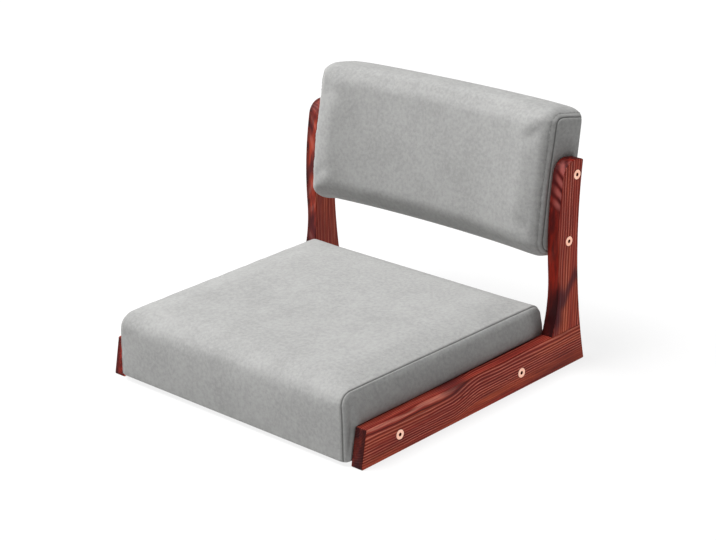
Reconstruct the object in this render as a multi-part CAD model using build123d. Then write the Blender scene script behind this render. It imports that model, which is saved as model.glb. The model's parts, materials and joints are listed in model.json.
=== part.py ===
from build123d import *
from math import asin, atan2, cos, degrees, radians, sin, sqrt
import os

# A legless floor chair: two L-shaped wooden side frames carry a padded seat and a padded
# backrest on furniture bolts. Millimetres. X runs across the chair, Y from front to back
# and Z up. "right" is the +X side, on the right when the chair is seen from the front.
# The pieces are drawn with Y = 0 at the front end of the rails, and moved at the end so
# that the origin is the middle of the footprint, on the floor.

# Side frames
overall_width = 440.0
frame_thickness = 18.0
rail_length = 390.0
rail_height = 47.0
rail_front_rake = 12.0          # the front end leans back this far over its height
back_lean = 13.3                # degrees from upright: upper post and backrest
post_rear_height = 257.0        # rear top corner above the floor
post_top_overhang = 11.0        # rear top corner behind the rail's end
rear_waist_inset = 6.0          # deepest point of the long rear sweep
rear_waist_height = 118.0
post_foot_depth = 54.0          # the post's tread on the rail, along Y
post_waist_height = 123.0       # where the front edge is upright
post_waist_setback = 16.2       # the front edge there, behind the foot's toe
post_top_straight = 32.1        # leaning part of the front edge, its rounded top included
post_top_radius = 21.0
outline_radius = 1.8            # small corners of the frame's outline
arris_radius = 1.5              # long edges, rounded over

# Dowels that join post and rail
dowel_diameter = 8.0
dowel_length = 50.0
dowel_spacing = 21.0
dowel_setback = 18.5            # front dowel behind the toe of the post
dowel_chamfer = 1.0

# Bolts, M6 with countersunk hex-socket heads, and their screw-in nuts
bolt_diameter = 6.0
bolt_head_diameter = 12.0
bolt_head_rim = 0.3
bolt_length = 40.0
bolt_socket_width = 4.0         # across flats
bolt_socket_depth = 2.6
nut_diameter = 10.0
nut_length = 12.0
nut_flange_diameter = 13.0
nut_flange = 1.5
rail_bolt_front = 64.0          # along the rail from its front end
rail_bolt_rear = 115.5          # before the rail's rear end
rail_bolt_height = 21.3
post_bolt_spacing = 82.0
post_bolt_inset = 11.2          # midway between the post bolts, before the rail's rear end
post_bolt_centre_z = 200.7

# Seat cushion
seat_bottom = 6.0               # underside of the cloth above the floor
seat_front = -7.0               # foot of the front face
seat_front_rake = 5.0           # the front face leans back this far
seat_rear_setback = 47.0        # foot of the rear face, before the rail's rear end
seat_rear_rake = 4.0
seat_front_height = 89.0        # top corners, before rounding
seat_rear_height = 84.5
seat_front_radius = 14.0
seat_rear_radius = 12.5
seat_side_radius = 12.0
seat_tuck_radius = 3.0          # where the cloth turns under
cloth = 1.0
dust_cloth = 0.6
dust_cloth_margin = 14.0        # from the cushion's edge
hem_width = 42.0

# Seat frame
batten_width = 30.0
batten_height = 27.0
seat_frame_front = 10.0
seat_frame_rear_margin = 14.0   # from the frame to the foot of the rear face
batten_chamfer = 1.5            # outer bottom edges, where the cloth turns under
deck_thickness = 9.0
deck_corner_radius = 8.0

# Backrest, drawn upright about the middle of its bolts and then leaned back
back_front = 26.5               # middle of the front face ahead of the bolts' line
back_front_crown = 4.5
back_rear = 31.0                # rear face behind the bolts' line, on the centre line
back_top = 116.5
back_bottom = 64.5
back_top_front_radius = 30.0
back_top_rear_radius = 12.5
back_bottom_front_radius = 14.0
back_bottom_rear_radius = 12.5
back_side_radius = 12.0
back_plan_radius = 2900.0       # the backrest is hollow towards the sitter
back_padding = 3.0              # thin sheet behind the plywood
shell_thickness = 6.0
shell_top = 101.0
shell_bottom = 55.0
shell_side_margin = 7.0
shell_corner_radius = 20.0
block_width = 30.0
block_thickness = 26.0
block_half_height = 53.0

# Wood screws
screw_diameter = 4.0
screw_head_diameter = 8.0
screw_chamfer = 1.5
deck_screw_length = 30.0
corner_screw_length = 55.0
block_screw_length = 28.0
deck_screws_per_side = 3
corner_screw_spread = 13.0
block_screw_spacing = 24.0

# Clearances
cloth_gap = 0.3                 # between cloth and what it lies against
glue_gap = 0.1                  # around dowels, nuts and screws
foam_gap = 0.2
blind_end = 1.0                 # past the end of a dowel, nut or screw

# Worked out
lean = radians(back_lean)
inner_x = overall_width / 2 - frame_thickness
middle_x = overall_width / 2 - frame_thickness / 2
cushion_half_width = inner_x - cloth_gap
core_half_width = cushion_half_width - cloth - cloth_gap
shell_half_width = core_half_width - shell_side_margin
tread_rear_inset = rear_waist_inset * (1 - (1 - rail_height / rear_waist_height) ** 2)
foot_toe_y = rail_length - tread_rear_inset - post_foot_depth
seat_rear = rail_length - seat_rear_setback
seat_frame_rear = seat_rear - seat_frame_rear_margin
batten_bottom = seat_bottom + cloth + cloth_gap
batten_top = batten_bottom + batten_height
rail_bolts = [(y, rail_bolt_height) for y in (rail_bolt_front, rail_length - rail_bolt_rear)]
post_bolt_centre_y = rail_length - post_bolt_inset
post_bolts = [
    (post_bolt_centre_y + v * sin(lean), post_bolt_centre_z + v * cos(lean))
    for v in (-post_bolt_spacing / 2, post_bolt_spacing / 2)
]
back_place = Location((0, post_bolt_centre_y, post_bolt_centre_z), (-back_lean, 0, 0))
shell_rear = back_rear - cloth - cloth_gap - back_padding - foam_gap
shell_front = shell_rear - shell_thickness
far = 400.0                     # past every piece, for cutting tools


def turned(*half_section):
    """A solid of revolution about Z from (radius, z) points."""
    outline = Polyline(*[(r, 0, z) for r, z in half_section], close=True)
    return revolve(make_face(outline), Axis.Z)


def from_side(shape, side, x, y, z):
    """Stand a shape drawn along +Z on a face at side * x, pointing inwards."""
    return Plane(origin=(side * x, y, z), z_dir=(-side, 0, 0)).location * shape


def on_side(part, side):
    """Keep the right-hand piece, or mirror it to the left."""
    return part if side > 0 else mirror(part, about=Plane.YZ)


def bolt():
    shank = bolt_diameter / 2
    head = bolt_head_diameter / 2
    neck = bolt_head_rim + head - shank
    body = turned(
        (0, 0), (head, 0), (head, bolt_head_rim), (shank, neck),
        (shank, bolt_length - 1), (shank - 1, bolt_length), (0, bolt_length),
    )
    hexagon = RegularPolygon(bolt_socket_width / 2, 6, major_radius=False)
    return body - extrude(hexagon, bolt_socket_depth)


def bolt_hole():
    """Countersunk hole right through a side frame."""
    shank = bolt_diameter / 2 + glue_gap * 2
    head = bolt_head_diameter / 2 + bolt_head_rim + glue_gap * 1.5
    return turned((0, -1), (head + 1, -1), (shank, head - shank), (shank, far), (0, far))


def screw_nut():
    bore = bolt_diameter / 2 + glue_gap
    body = nut_diameter / 2
    flange = nut_flange_diameter / 2
    return turned(
        (bore, 0), (flange, 0), (flange, nut_flange), (body, nut_flange), (body, nut_length), (bore, nut_length)
    )


def nut_hole():
    """Stepped blind hole for a screw-in nut, with room for the end of its bolt."""
    body = nut_diameter / 2 + glue_gap
    flange = nut_flange_diameter / 2 + glue_gap
    shank = bolt_diameter / 2 + glue_gap * 2
    seat = nut_flange + glue_gap
    nut_end = nut_length + glue_gap
    bolt_end = bolt_length - frame_thickness - cloth - 2 * cloth_gap + blind_end
    return turned(
        (0, -1), (flange, -1), (flange, seat), (body, seat), (body, nut_end),
        (shank, nut_end), (shank, bolt_end), (0, bolt_end),
    )


def wood_screw(length):
    shank = screw_diameter / 2
    head = screw_head_diameter / 2
    return turned(
        (0, 0), (head, 0), (shank, head - shank), (shank, length - screw_chamfer),
        (shank - screw_chamfer, length), (0, length),
    )


def screw_hole(length):
    shank = screw_diameter / 2 + glue_gap
    head = screw_head_diameter / 2 + glue_gap * 1.5
    return turned((0, -1), (head + 1, -1), (shank, head - shank), (shank, length), (0, length))


def frame_outline():
    """Side view of rail and post together, glued up and then shaped as one L."""
    rear_top = (rail_length + post_top_overhang, post_rear_height)
    waist_y = foot_toe_y + post_waist_setback
    rise_to_top = (rear_top[0] - waist_y) * sin(lean) + (rear_top[1] - post_waist_height) * cos(lean)
    bend_radius = (rise_to_top - post_top_straight) / sin(lean)
    bend_y = waist_y + bend_radius * (1 - cos(lean))
    bend_z = post_waist_height + bend_radius * sin(lean)
    top_width = (rear_top[0] - bend_y) * cos(lean) - (rear_top[1] - bend_z) * sin(lean)
    top_front = (rear_top[0] - top_width * cos(lean), rear_top[1] + top_width * sin(lean))
    half_bend = (
        waist_y + bend_radius * (1 - cos(lean / 2)),
        post_waist_height + bend_radius * sin(lean / 2),
    )
    rise = post_waist_height - rail_height
    flare_radius = (rise**2 + post_waist_setback**2) / (2 * post_waist_setback)
    half_flare = atan2(rise, flare_radius - post_waist_setback) / 2
    flare_mid = (
        waist_y - flare_radius * (1 - cos(half_flare)),
        post_waist_height - flare_radius * sin(half_flare),
    )
    with BuildSketch(Plane.YZ) as outline:
        with BuildLine():
            Line((0, 0), (rail_length, 0))
            ThreePointArc((rail_length, 0), (rail_length - rear_waist_inset, rear_waist_height), rear_top)
            Line(rear_top, top_front)
            Line(top_front, (bend_y, bend_z))
            ThreePointArc((bend_y, bend_z), half_bend, (waist_y, post_waist_height))
            ThreePointArc((waist_y, post_waist_height), flare_mid, (foot_toe_y, rail_height))
            Line((foot_toe_y, rail_height), (rail_front_rake, rail_height))
            Line((rail_front_rake, rail_height), (0, 0))
        make_face()
        fillet(outline.vertices().sort_by_distance(top_front)[0], post_top_radius)
        for corner in ((0, 0), (rail_length, 0), rear_top, (rail_front_rake, rail_height)):
            fillet(outline.vertices().sort_by_distance(corner)[0], outline_radius)
    return outline.sketch


def side_frame():
    """The right-hand L with its arrises rounded and its bolt holes drilled."""
    board = extrude(Pos(inner_x, 0, 0) * frame_outline(), frame_thickness)
    faces = board.faces().sort_by(Axis.X)
    board = fillet(faces[0].edges() + faces[-1].edges(), arris_radius)
    for y, z in rail_bolts + post_bolts:
        board -= from_side(bolt_hole(), 1, overall_width / 2, y, z)
    for hole in dowels(glue_gap):
        board -= hole
    return board


def dowels(gap=0.0):
    """The two dowels of the right-hand joint, or their holes when a gap is given."""
    radius = dowel_diameter / 2
    half = dowel_length / 2
    if gap:
        pin = Cylinder(radius + gap, 2 * (half + blind_end))
    else:
        pin = turned(
            (0, -half), (radius - dowel_chamfer, -half), (radius, dowel_chamfer - half),
            (radius, half - dowel_chamfer), (radius - dowel_chamfer, half), (0, half),
        )
    first = foot_toe_y + dowel_setback
    return [Pos(middle_x, first + n * dowel_spacing, rail_height) * pin for n in (0, 1)]


def half_space(z, above):
    centre = z + far / 2 if above else z - far / 2
    return Pos(0, 0, centre) * Box(4 * far, 4 * far, far)


def seat_body(inset):
    """The seat cushion's outer form, or one that lies the inset inside it."""
    front_top = seat_front + seat_front_rake
    rear_top = seat_rear - seat_rear_rake
    outline = Plane.YZ * make_face(Polyline(
        (seat_front, seat_bottom), (seat_rear, seat_bottom),
        (rear_top, seat_rear_height), (front_top, seat_front_height), close=True,
    ))
    corners = outline.vertices().sort_by(Axis.Z)[2:].sort_by(Axis.Y)
    outline = fillet(corners[0], seat_front_radius)
    corners = outline.vertices().sort_by_distance((0, rear_top, seat_rear_height))
    outline = fillet(corners[0], seat_rear_radius)
    if inset:
        outline = offset(outline, -inset)
    body = extrude(outline, cushion_half_width - inset, both=True)
    ends = body.faces().sort_by(Axis.X)
    rims = [e for face in (ends[0], ends[-1]) for e in face.edges() if e.center().Z > seat_bottom + inset + 1]
    body = fillet(rims, seat_side_radius - inset)
    under = body.faces().sort_by(Axis.Z)[0]
    return fillet(under.edges(), max(seat_tuck_radius - inset, 0.5))


def back_sweep(outline, half_width):
    """Sweep a YZ section round the backrest's plan curve and square its ends off."""
    reach = degrees(asin(half_width / (back_plan_radius - 2 * back_front))) + 1
    axis = Axis((0, -back_plan_radius, 0), (0, 0, 1))
    swept = revolve(outline, axis, 2 * reach)
    swept = Pos(0, -back_plan_radius, 0) * Rot(0, 0, -reach) * Pos(0, back_plan_radius, 0) * swept
    return swept & Box(2 * half_width, far, far)


def back_body(inset):
    """The backrest's outer form, upright, or one that lies the inset inside it."""
    crowned = back_front - back_front_crown
    corner = {
        "top_front": (-crowned, back_top, back_top_front_radius),
        "top_rear": (back_rear, back_top, back_top_rear_radius),
        "bottom_rear": (back_rear, -back_bottom, back_bottom_rear_radius),
        "bottom_front": (-crowned, -back_bottom, back_bottom_front_radius),
    }
    (y1, z1, _), (y2, z2, _), (y3, z3, _), (y4, z4, _) = corner.values()
    with BuildSketch(Plane.YZ) as outline:
        with BuildLine():
            Polyline((y1, z1), (y2, z2), (y3, z3), (y4, z4))
            ThreePointArc((y4, z4), (-back_front, (z1 + z4) / 2), (y1, z1))
        make_face()
        for y, z, radius in corner.values():
            fillet(outline.vertices().sort_by_distance((y, z))[0], radius)
    section = outline.sketch
    if inset:
        section = offset(section, -inset)
    body = back_sweep(section, cushion_half_width - inset)
    ends = body.faces().sort_by(Axis.X)
    return fillet(ends[0].edges() + ends[-1].edges(), back_side_radius - inset)


def shell_slab(front, rear, margin=0.0):
    """Curved layer between two depths over the plywood's outline, its margin outside."""
    half_width = shell_half_width + margin
    height = shell_top + shell_bottom + 2 * margin
    end_front = depth_at(half_width, front)
    end_rear = depth_at(half_width, rear)
    with BuildSketch() as plan:
        with BuildLine():
            ThreePointArc((-half_width, end_front), (0, front), (half_width, end_front))
            Line((half_width, end_front), (half_width, end_rear))
            ThreePointArc((half_width, end_rear), (0, rear), (-half_width, end_rear))
            Line((-half_width, end_rear), (-half_width, end_front))
        make_face()
    slab = Pos(0, 0, -shell_bottom - margin) * extrude(plan.sketch, height)
    return fillet(slab.edges().filter_by(Axis.Y), shell_corner_radius + margin)


def block_box(margin=0.0):
    """Room taken by the right-hand end block, its margin outside, deep enough to be scribed to the shell."""
    front = shell_front_at(core_half_width) - foam_gap - block_thickness
    depth = shell_front_at(core_half_width - block_width) - front
    box = Box(block_width + 2 * margin, depth + 2 * margin, 2 * (block_half_height + margin))
    return Pos(core_half_width - block_width / 2, front + depth / 2, 0) * box


def block_screw_places():
    return [(core_half_width - block_width / 2, v) for v in (-block_screw_spacing, 0, block_screw_spacing)]


def depth_at(x, depth):
    """A depth on the centre line, carried round the plan curve to a distance x from it."""
    return sqrt((back_plan_radius + depth) ** 2 - x**2) - back_plan_radius


def shell_front_at(x):
    return depth_at(x, shell_front)


def block_screws(shape, side=1):
    """Screws driven forward through the plywood into an end block, square to the curve."""
    placed = []
    for x, v in block_screw_places():
        turn = -side * degrees(asin(x / back_plan_radius))
        placed.append(Pos(side * x, depth_at(x, shell_rear), v) * Rot(0, 0, turn) * Rot(90, 0, 0) * shape)
    return placed


def end_block():
    block = chamfer(block_box().edges().group_by(Axis.X)[-1], 1)
    block -= shell_slab(shell_front - foam_gap / 2, far)
    for v in (-post_bolt_spacing / 2, post_bolt_spacing / 2):
        block -= from_side(nut_hole(), 1, core_half_width, 0, v)
    for hole in block_screws(screw_hole(block_screw_length + blind_end)):
        block -= hole
    return block


def back_shell():
    """Drilled on the right, then doubled over to the left."""
    half = shell_slab(shell_front, shell_rear) & Pos(far / 2, 0, 0) * Box(far, 2 * far, 2 * far)
    for hole in block_screws(screw_hole(block_screw_length + blind_end)):
        half -= hole
    return half + mirror(half, about=Plane.YZ)


def back_cover():
    cover = back_body(0) - back_body(cloth)
    for side in (1, -1):
        for v in (-post_bolt_spacing / 2, post_bolt_spacing / 2):
            hole = Cylinder(bolt_diameter / 2 + cloth_gap, 4 * cloth)
            cover -= from_side(hole, side, cushion_half_width - cloth / 2, 0, v)
    return cover


def back_foam():
    """Foam in front of the plywood, down both sides of the blocks and round the rim."""
    foam = back_body(cloth + cloth_gap)
    foam -= shell_slab(shell_front - foam_gap, far, foam_gap)
    for side in (1, -1):
        foam -= on_side(block_box(foam_gap), side)
    return foam


def back_sheet():
    return back_body(cloth + cloth_gap) & shell_slab(shell_rear + foam_gap, far)


def corner_screw_places():
    """Both ends of a side batten: (y, z) of the screws into the cross battens."""
    rows = (seat_frame_front + batten_width / 2, seat_frame_rear - batten_width / 2)
    middle = batten_bottom + batten_height / 2
    return [(y, middle + dz) for y in rows for dz in (-corner_screw_spread / 2, corner_screw_spread / 2)]


def deck_screw_places():
    """Round the deck: in a row down each side, and one in the middle of front and rear."""
    x = core_half_width - batten_width / 2
    first = seat_frame_front + 1.5 * batten_width
    last = seat_frame_rear - 1.5 * batten_width
    step = (last - first) / (deck_screws_per_side - 1)
    sides = [(s * x, first + n * step) for s in (-1, 1) for n in range(deck_screws_per_side)]
    ends = [(0, seat_frame_front + batten_width / 2), (0, seat_frame_rear - batten_width / 2)]
    return sides + ends


def drill_deck_screws(part):
    hole = screw_hole(deck_screw_length + blind_end)
    for x, y in deck_screw_places():
        part -= Pos(x, y, batten_top + deck_thickness) * Rot(180, 0, 0) * hole
    return part


def drill_corner_screws(part, side):
    hole = screw_hole(corner_screw_length + blind_end)
    for y, z in corner_screw_places():
        part -= from_side(hole, side, core_half_width, y, z)
    return part


def side_batten(side):
    length = seat_frame_rear - seat_frame_front
    batten = Box(batten_width, length, batten_height)
    outer = batten.faces().sort_by(Axis.X)[-1 if side > 0 else 0]
    batten = chamfer(outer.edges().sort_by(Axis.Z)[0], batten_chamfer)
    x = side * (core_half_width - batten_width / 2)
    batten = Pos(x, seat_frame_front + length / 2, batten_bottom + batten_height / 2) * batten
    for y, z in rail_bolts:
        batten -= from_side(nut_hole(), side, core_half_width, y, z)
    return drill_deck_screws(drill_corner_screws(batten, side))


def cross_batten(y):
    span = 2 * (core_half_width - batten_width)
    batten = Pos(0, y, batten_bottom + batten_height / 2) * Box(span, batten_width, batten_height)
    for side in (1, -1):
        batten = drill_corner_screws(batten, side)
    return drill_deck_screws(batten)


def seat_deck():
    length = seat_frame_rear - seat_frame_front
    outline = RectangleRounded(2 * core_half_width, length, deck_corner_radius)
    deck = extrude(Pos(0, seat_frame_front + length / 2, batten_top) * outline, deck_thickness)
    return drill_deck_screws(deck)


def seat_foam():
    """One block that lies on the deck and laps over the front and rear of the frame."""
    foam = seat_body(cloth + cloth_gap)
    length = seat_frame_rear - seat_frame_front + 2 * foam_gap
    tall = batten_height + deck_thickness + cloth_gap + foam_gap
    core = Box(far * 2, length, tall)
    return foam - Pos(0, (seat_frame_front + seat_frame_rear) / 2, batten_top + deck_thickness + foam_gap - tall / 2) * core


def seat_cover():
    """Cloth pulled over the foam and turned under as a stapled hem."""
    cover = seat_body(0) - seat_body(cloth)
    length = seat_rear - seat_front - 2 * hem_width
    opening = Box(2 * (cushion_half_width - hem_width), length, 6 * cloth)
    cover -= Pos(0, (seat_rear + seat_front) / 2, seat_bottom) * opening
    for side in (1, -1):
        for y, z in rail_bolts:
            hole = Cylinder(bolt_diameter / 2 + cloth_gap, 4 * cloth)
            cover -= from_side(hole, side, cushion_half_width - cloth / 2, y, z)
    return cover


def dust_cover():
    length = seat_rear - seat_front - 2 * dust_cloth_margin
    sheet = RectangleRounded(2 * (cushion_half_width - dust_cloth_margin), length, dust_cloth_margin / 2)
    sheet = Pos(0, (seat_rear + seat_front) / 2, seat_bottom - cloth_gap - dust_cloth) * sheet
    return extrude(sheet, dust_cloth)


def build_nodes():
    nodes = {}
    frame = side_frame()
    rail = frame & half_space(rail_height, False)
    post = frame & half_space(rail_height, True)
    block = end_block()
    for name, side in (("right", 1), ("left", -1)):
        nodes[f"side_rail_{name}"] = [on_side(rail, side)]
        nodes[f"back_post_{name}"] = [on_side(post, side)]
        nodes[f"post_dowels_{name}"] = [on_side(pin, side) for pin in dowels()]
        outer = overall_width / 2
        nodes[f"seat_bolts_{name}"] = [from_side(bolt(), side, outer, y, z) for y, z in rail_bolts]
        nodes[f"back_bolts_{name}"] = [from_side(bolt(), side, outer, y, z) for y, z in post_bolts]
        for part, places in (("seat", rail_bolts), ("back", post_bolts)):
            nuts = [from_side(screw_nut(), side, core_half_width, y, z) for y, z in places]
            nodes[f"{part}_insert_nuts_{name}"] = nuts
        nodes[f"seat_side_batten_{name}"] = [side_batten(side)]
        screw = wood_screw(corner_screw_length)
        corner = [from_side(screw, side, core_half_width, y, z) for y, z in corner_screw_places()]
        nodes[f"seat_corner_screws_{name}"] = corner
        nodes[f"back_end_block_{name}"] = [back_place * on_side(block, side)]
        screws = block_screws(wood_screw(block_screw_length), side)
        nodes[f"back_block_screws_{name}"] = [back_place * s for s in screws]
    nodes["seat_front_batten"] = [cross_batten(seat_frame_front + batten_width / 2)]
    nodes["seat_rear_batten"] = [cross_batten(seat_frame_rear - batten_width / 2)]
    nodes["seat_deck"] = [seat_deck()]
    screw = wood_screw(deck_screw_length)
    deck_top = batten_top + deck_thickness
    nodes["seat_deck_screws"] = [Pos(x, y, deck_top) * Rot(180, 0, 0) * screw for x, y in deck_screw_places()]
    nodes["seat_foam"] = [seat_foam()]
    nodes["seat_cover"] = [seat_cover()]
    nodes["seat_dust_cover"] = [dust_cover()]
    nodes["back_shell"] = [back_place * back_shell()]
    nodes["back_foam"] = [back_place * back_foam()]
    nodes["back_rear_sheet"] = [back_place * back_sheet()]
    nodes["back_cover"] = [back_place * back_cover()]
    return nodes


def main():
    nodes = build_nodes()
    solids = {name: [s for part in parts for s in part.solids()] for name, parts in nodes.items()}
    box = Compound([s for group in solids.values() for s in group]).bounding_box()
    centre = Pos(-(box.min.X + box.max.X) / 2, -(box.min.Y + box.max.Y) / 2, -box.min.Z)
    os.makedirs("parts", exist_ok=True)
    for name, group in solids.items():
        moved = [centre * s for s in group]
        shape = moved[0] if len(moved) == 1 else Compound(moved)
        export_step(shape, f"parts/{name}.step")
    size = box.size
    print(f"{len(solids)} nodes, {size.X:.1f} x {size.Y:.1f} x {size.Z:.1f} mm, moved by {centre.position}")


main()
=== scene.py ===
import bpy, json, math
import numpy as np
from mathutils import Matrix, Vector, noise

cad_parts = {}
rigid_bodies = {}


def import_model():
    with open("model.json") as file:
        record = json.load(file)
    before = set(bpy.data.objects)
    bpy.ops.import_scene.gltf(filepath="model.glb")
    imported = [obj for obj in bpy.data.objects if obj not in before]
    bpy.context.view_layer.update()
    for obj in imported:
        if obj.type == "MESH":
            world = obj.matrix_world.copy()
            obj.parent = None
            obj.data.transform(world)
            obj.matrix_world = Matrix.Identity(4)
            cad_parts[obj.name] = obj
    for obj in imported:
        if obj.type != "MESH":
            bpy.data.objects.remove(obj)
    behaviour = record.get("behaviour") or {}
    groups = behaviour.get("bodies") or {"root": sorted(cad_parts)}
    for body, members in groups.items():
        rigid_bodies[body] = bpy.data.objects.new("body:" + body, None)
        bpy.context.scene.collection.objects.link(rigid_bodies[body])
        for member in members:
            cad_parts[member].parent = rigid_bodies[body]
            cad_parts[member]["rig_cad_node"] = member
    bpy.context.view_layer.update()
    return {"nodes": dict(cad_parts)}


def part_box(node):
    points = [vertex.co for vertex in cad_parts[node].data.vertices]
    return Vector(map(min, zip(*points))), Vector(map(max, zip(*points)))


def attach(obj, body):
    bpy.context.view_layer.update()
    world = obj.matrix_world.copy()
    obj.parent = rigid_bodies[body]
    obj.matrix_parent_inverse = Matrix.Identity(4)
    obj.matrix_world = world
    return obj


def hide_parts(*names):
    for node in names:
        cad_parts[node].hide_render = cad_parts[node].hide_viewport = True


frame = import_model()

# A legless floor chair on two L-shaped side frames of charred pine, with grey cloth cushions.
# Metres; the origin is the middle of the footprint, on the floor.
for spare in [o for o in bpy.data.objects if "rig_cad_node" not in o and not o.name.startswith("body:")]:
    bpy.data.objects.remove(spare)

mm = 0.001
boltSetBack = 58 * mm  # from the rails' front ends to the first bolt heads
boltHead = 12 * mm
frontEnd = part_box("seat_bolts_right")[0].y - boltSetBack  # y of the rails' front ends
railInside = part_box("side_rail_right")[0].x


def deselectAll():
    for o in bpy.context.scene.objects:
        o.select_set(False)


def makeActive(piece):
    deselectAll()
    piece.select_set(True)
    bpy.context.view_layer.objects.active = piece


def startEdit(selection=None):
    bpy.ops.object.mode_set(mode="EDIT")
    if selection:
        bpy.ops.mesh.select_all(action=selection)


def endEdit():
    bpy.ops.object.mode_set(mode="OBJECT")


def newPiece(name, points, faces):
    mesh = bpy.data.meshes.new(name)
    mesh.from_pydata([tuple(p) for p in points], [], faces)
    piece = bpy.data.objects.new(name, mesh)
    bpy.context.scene.collection.objects.link(piece)
    return piece


def takeShape(piece):  # points and faces to copy, sorted because extrude leaves them in any order
    points = coordinates(piece.data)
    order = np.lexsort(np.round(points, 7).T)
    rank = np.argsort(order).tolist()
    faces = []
    for f in piece.data.polygons:
        loop = [rank[k] for k in f.vertices]
        first = loop.index(min(loop))
        faces.append(tuple(loop[first:] + loop[:first]))
    bpy.data.objects.remove(piece)
    return points[order], sorted(faces)


def faceOutwards(piece):
    makeActive(piece)
    startEdit("SELECT")
    bpy.ops.mesh.normals_make_consistent(inside=False)
    endEdit()


def coordinates(mesh, kind="co"):
    found = np.empty(len(mesh.vertices) * 3)
    mesh.vertices.foreach_get(kind, found)
    return found.reshape(-1, 3)


def normals(mesh):
    return coordinates(mesh, "normal")


def setCoordinates(mesh, points):
    mesh.vertices.foreach_set("co", np.asarray(points, float).ravel())
    mesh.update()


def smoothStep(low, high, value):
    t = np.clip((value - low) / (high - low), 0, 1)
    return t * t * (3 - 2 * t)


def mmStep(low, high, value):  # the same with its limits in millimetres
    return smoothStep(low * mm, high * mm, value)


def bell(value, width):
    return np.exp(-(value / width) ** 2)


# Camera

cameraPlace = {
    "position": (1.8823493, -1.561369, 1.1552182),  # y from the rails' front ends
    "right": (0.7055, 0.7057, -0.0652),
    "up": (-0.2201, 0.3056, 0.9264),
    "focal": 113.569, "sensor": 36.0, "near": 0.05, "far": 60,
}


def makeCamera():
    look = cameraPlace
    eye = bpy.data.cameras.new("eye")
    eye.lens, eye.sensor_width, eye.sensor_fit = look["focal"], look["sensor"], "HORIZONTAL"
    eye.clip_start, eye.clip_end = look["near"], look["far"]
    holder = bpy.data.objects.new("eye", eye)
    bpy.context.scene.collection.objects.link(holder)
    right = Vector(look["right"]).normalized()
    up = Vector(look["up"])
    up = (up - up.dot(right) * right).normalized()
    back = right.cross(up)
    x, y, z = look["position"]
    turn = Matrix((right, up, back)).transposed().to_4x4()
    holder.matrix_world = Matrix.Translation((x, y + frontEnd, z)) @ turn
    bpy.context.scene.camera = holder


# Shading

class Link:  # a socket that takes part in sums
    def __init__(self, shader, socket):
        self.shader, self.socket = shader, socket

    def join(self, operation, other=0.0, swapped=False):
        pair = (other, self) if swapped else (self, other)
        return self.shader.node("ShaderNodeMath", {"operation": operation}, {0: pair[0], 1: pair[1]})

    def __add__(self, other):
        return self.join("ADD", other)

    def __radd__(self, other):
        return self.join("ADD", other, True)

    def __sub__(self, other):
        return self.join("SUBTRACT", other)

    def __rsub__(self, other):
        return self.join("SUBTRACT", other, True)

    def __mul__(self, other):
        return self.join("MULTIPLY", other)

    def __rmul__(self, other):
        return self.join("MULTIPLY", other, True)

    def __truediv__(self, other):
        return self.join("DIVIDE", other)

    def __pow__(self, other):
        return self.join("POWER", other)

    def __abs__(self):
        return self.join("ABSOLUTE")

    def also(self, output):  # another output of the same node
        return Link(self.shader, self.socket.node.outputs[output])

    def parts(self):  # x, y and z of a vector
        apart = self.shader.node("ShaderNodeSeparateXYZ", {}, {"Vector": self})
        return apart, apart.also("Y"), apart.also("Z")


class Shader:
    def __init__(self, name, **constants):
        self.material = bpy.data.materials.new(name)
        self.material.use_nodes = True
        self.tree = self.material.node_tree
        self.surface = self.tree.nodes["Principled BSDF"]
        for socket, value in constants.items():
            self.surface.inputs[socket.replace("_", " ")].default_value = value

    def node(self, kind, settings=None, sockets=None, output=0):
        made = self.tree.nodes.new(kind)
        for key, value in (settings or {}).items():
            if key == "stops":
                ramp = made.color_ramp
                while len(ramp.elements) < len(value):
                    ramp.elements.new(0.5)
                for stop, (place, colour) in zip(ramp.elements, value):
                    stop.position, stop.color = place, (*colour, 1)
            else:
                setattr(made, key, value)
        for key, value in (sockets or {}).items():
            if isinstance(value, Link):
                self.tree.links.new(value.socket, made.inputs[key])
            else:
                made.inputs[key].default_value = (*value, 1) if made.inputs[key].type == "RGBA" else value
        return Link(self, made.outputs[output])

    def feed(self, **links):
        for socket, link in links.items():
            self.tree.links.new(link.socket, self.surface.inputs[socket.replace("_", " ")])

    def place(self):
        return self.node("ShaderNodeTexCoord", output="Object")

    def noise(self, where, scale, detail=2.0, roughness=0.5):  # scale: waves per metre, one or three
        scales = scale if isinstance(scale, tuple) else (scale, scale, scale)
        spread = self.node("ShaderNodeVectorMath", {"operation": "MULTIPLY"}, {0: where, 1: scales})
        sockets = {"Vector": spread, "Scale": 1.0, "Detail": detail, "Roughness": roughness}
        return self.node("ShaderNodeTexNoise", {}, sockets)

    def between(self, value, low, high, first=0.0, last=1.0):
        settings = {"interpolation_type": "SMOOTHSTEP", "clamp": True}
        sockets = {"Value": value, "From Min": low, "From Max": high, "To Min": first, "To Max": last}
        return self.node("ShaderNodeMapRange", settings, sockets)

    def betweenMm(self, value, low, high, *shares):
        return self.between(value, low * mm, high * mm, *shares)

    def ramp(self, value, *stops):
        return self.node("ShaderNodeValToRGB", {"stops": stops}, {"Fac": value})

    def blend(self, amount, first, second, kind="MIX"):
        settings = {"data_type": "RGBA", "blend_type": kind}
        return self.node("ShaderNodeMix", settings, {0: amount, 6: first, 7: second}, 2)

    def tint(self, first, second):
        return self.blend(1.0, first, second, "MULTIPLY")

    def bump(self, height, depth, **more):
        sockets = {"Height": height, "Distance": depth, **more}
        self.feed(Normal=self.node("ShaderNodeBump", {}, sockets))


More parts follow.
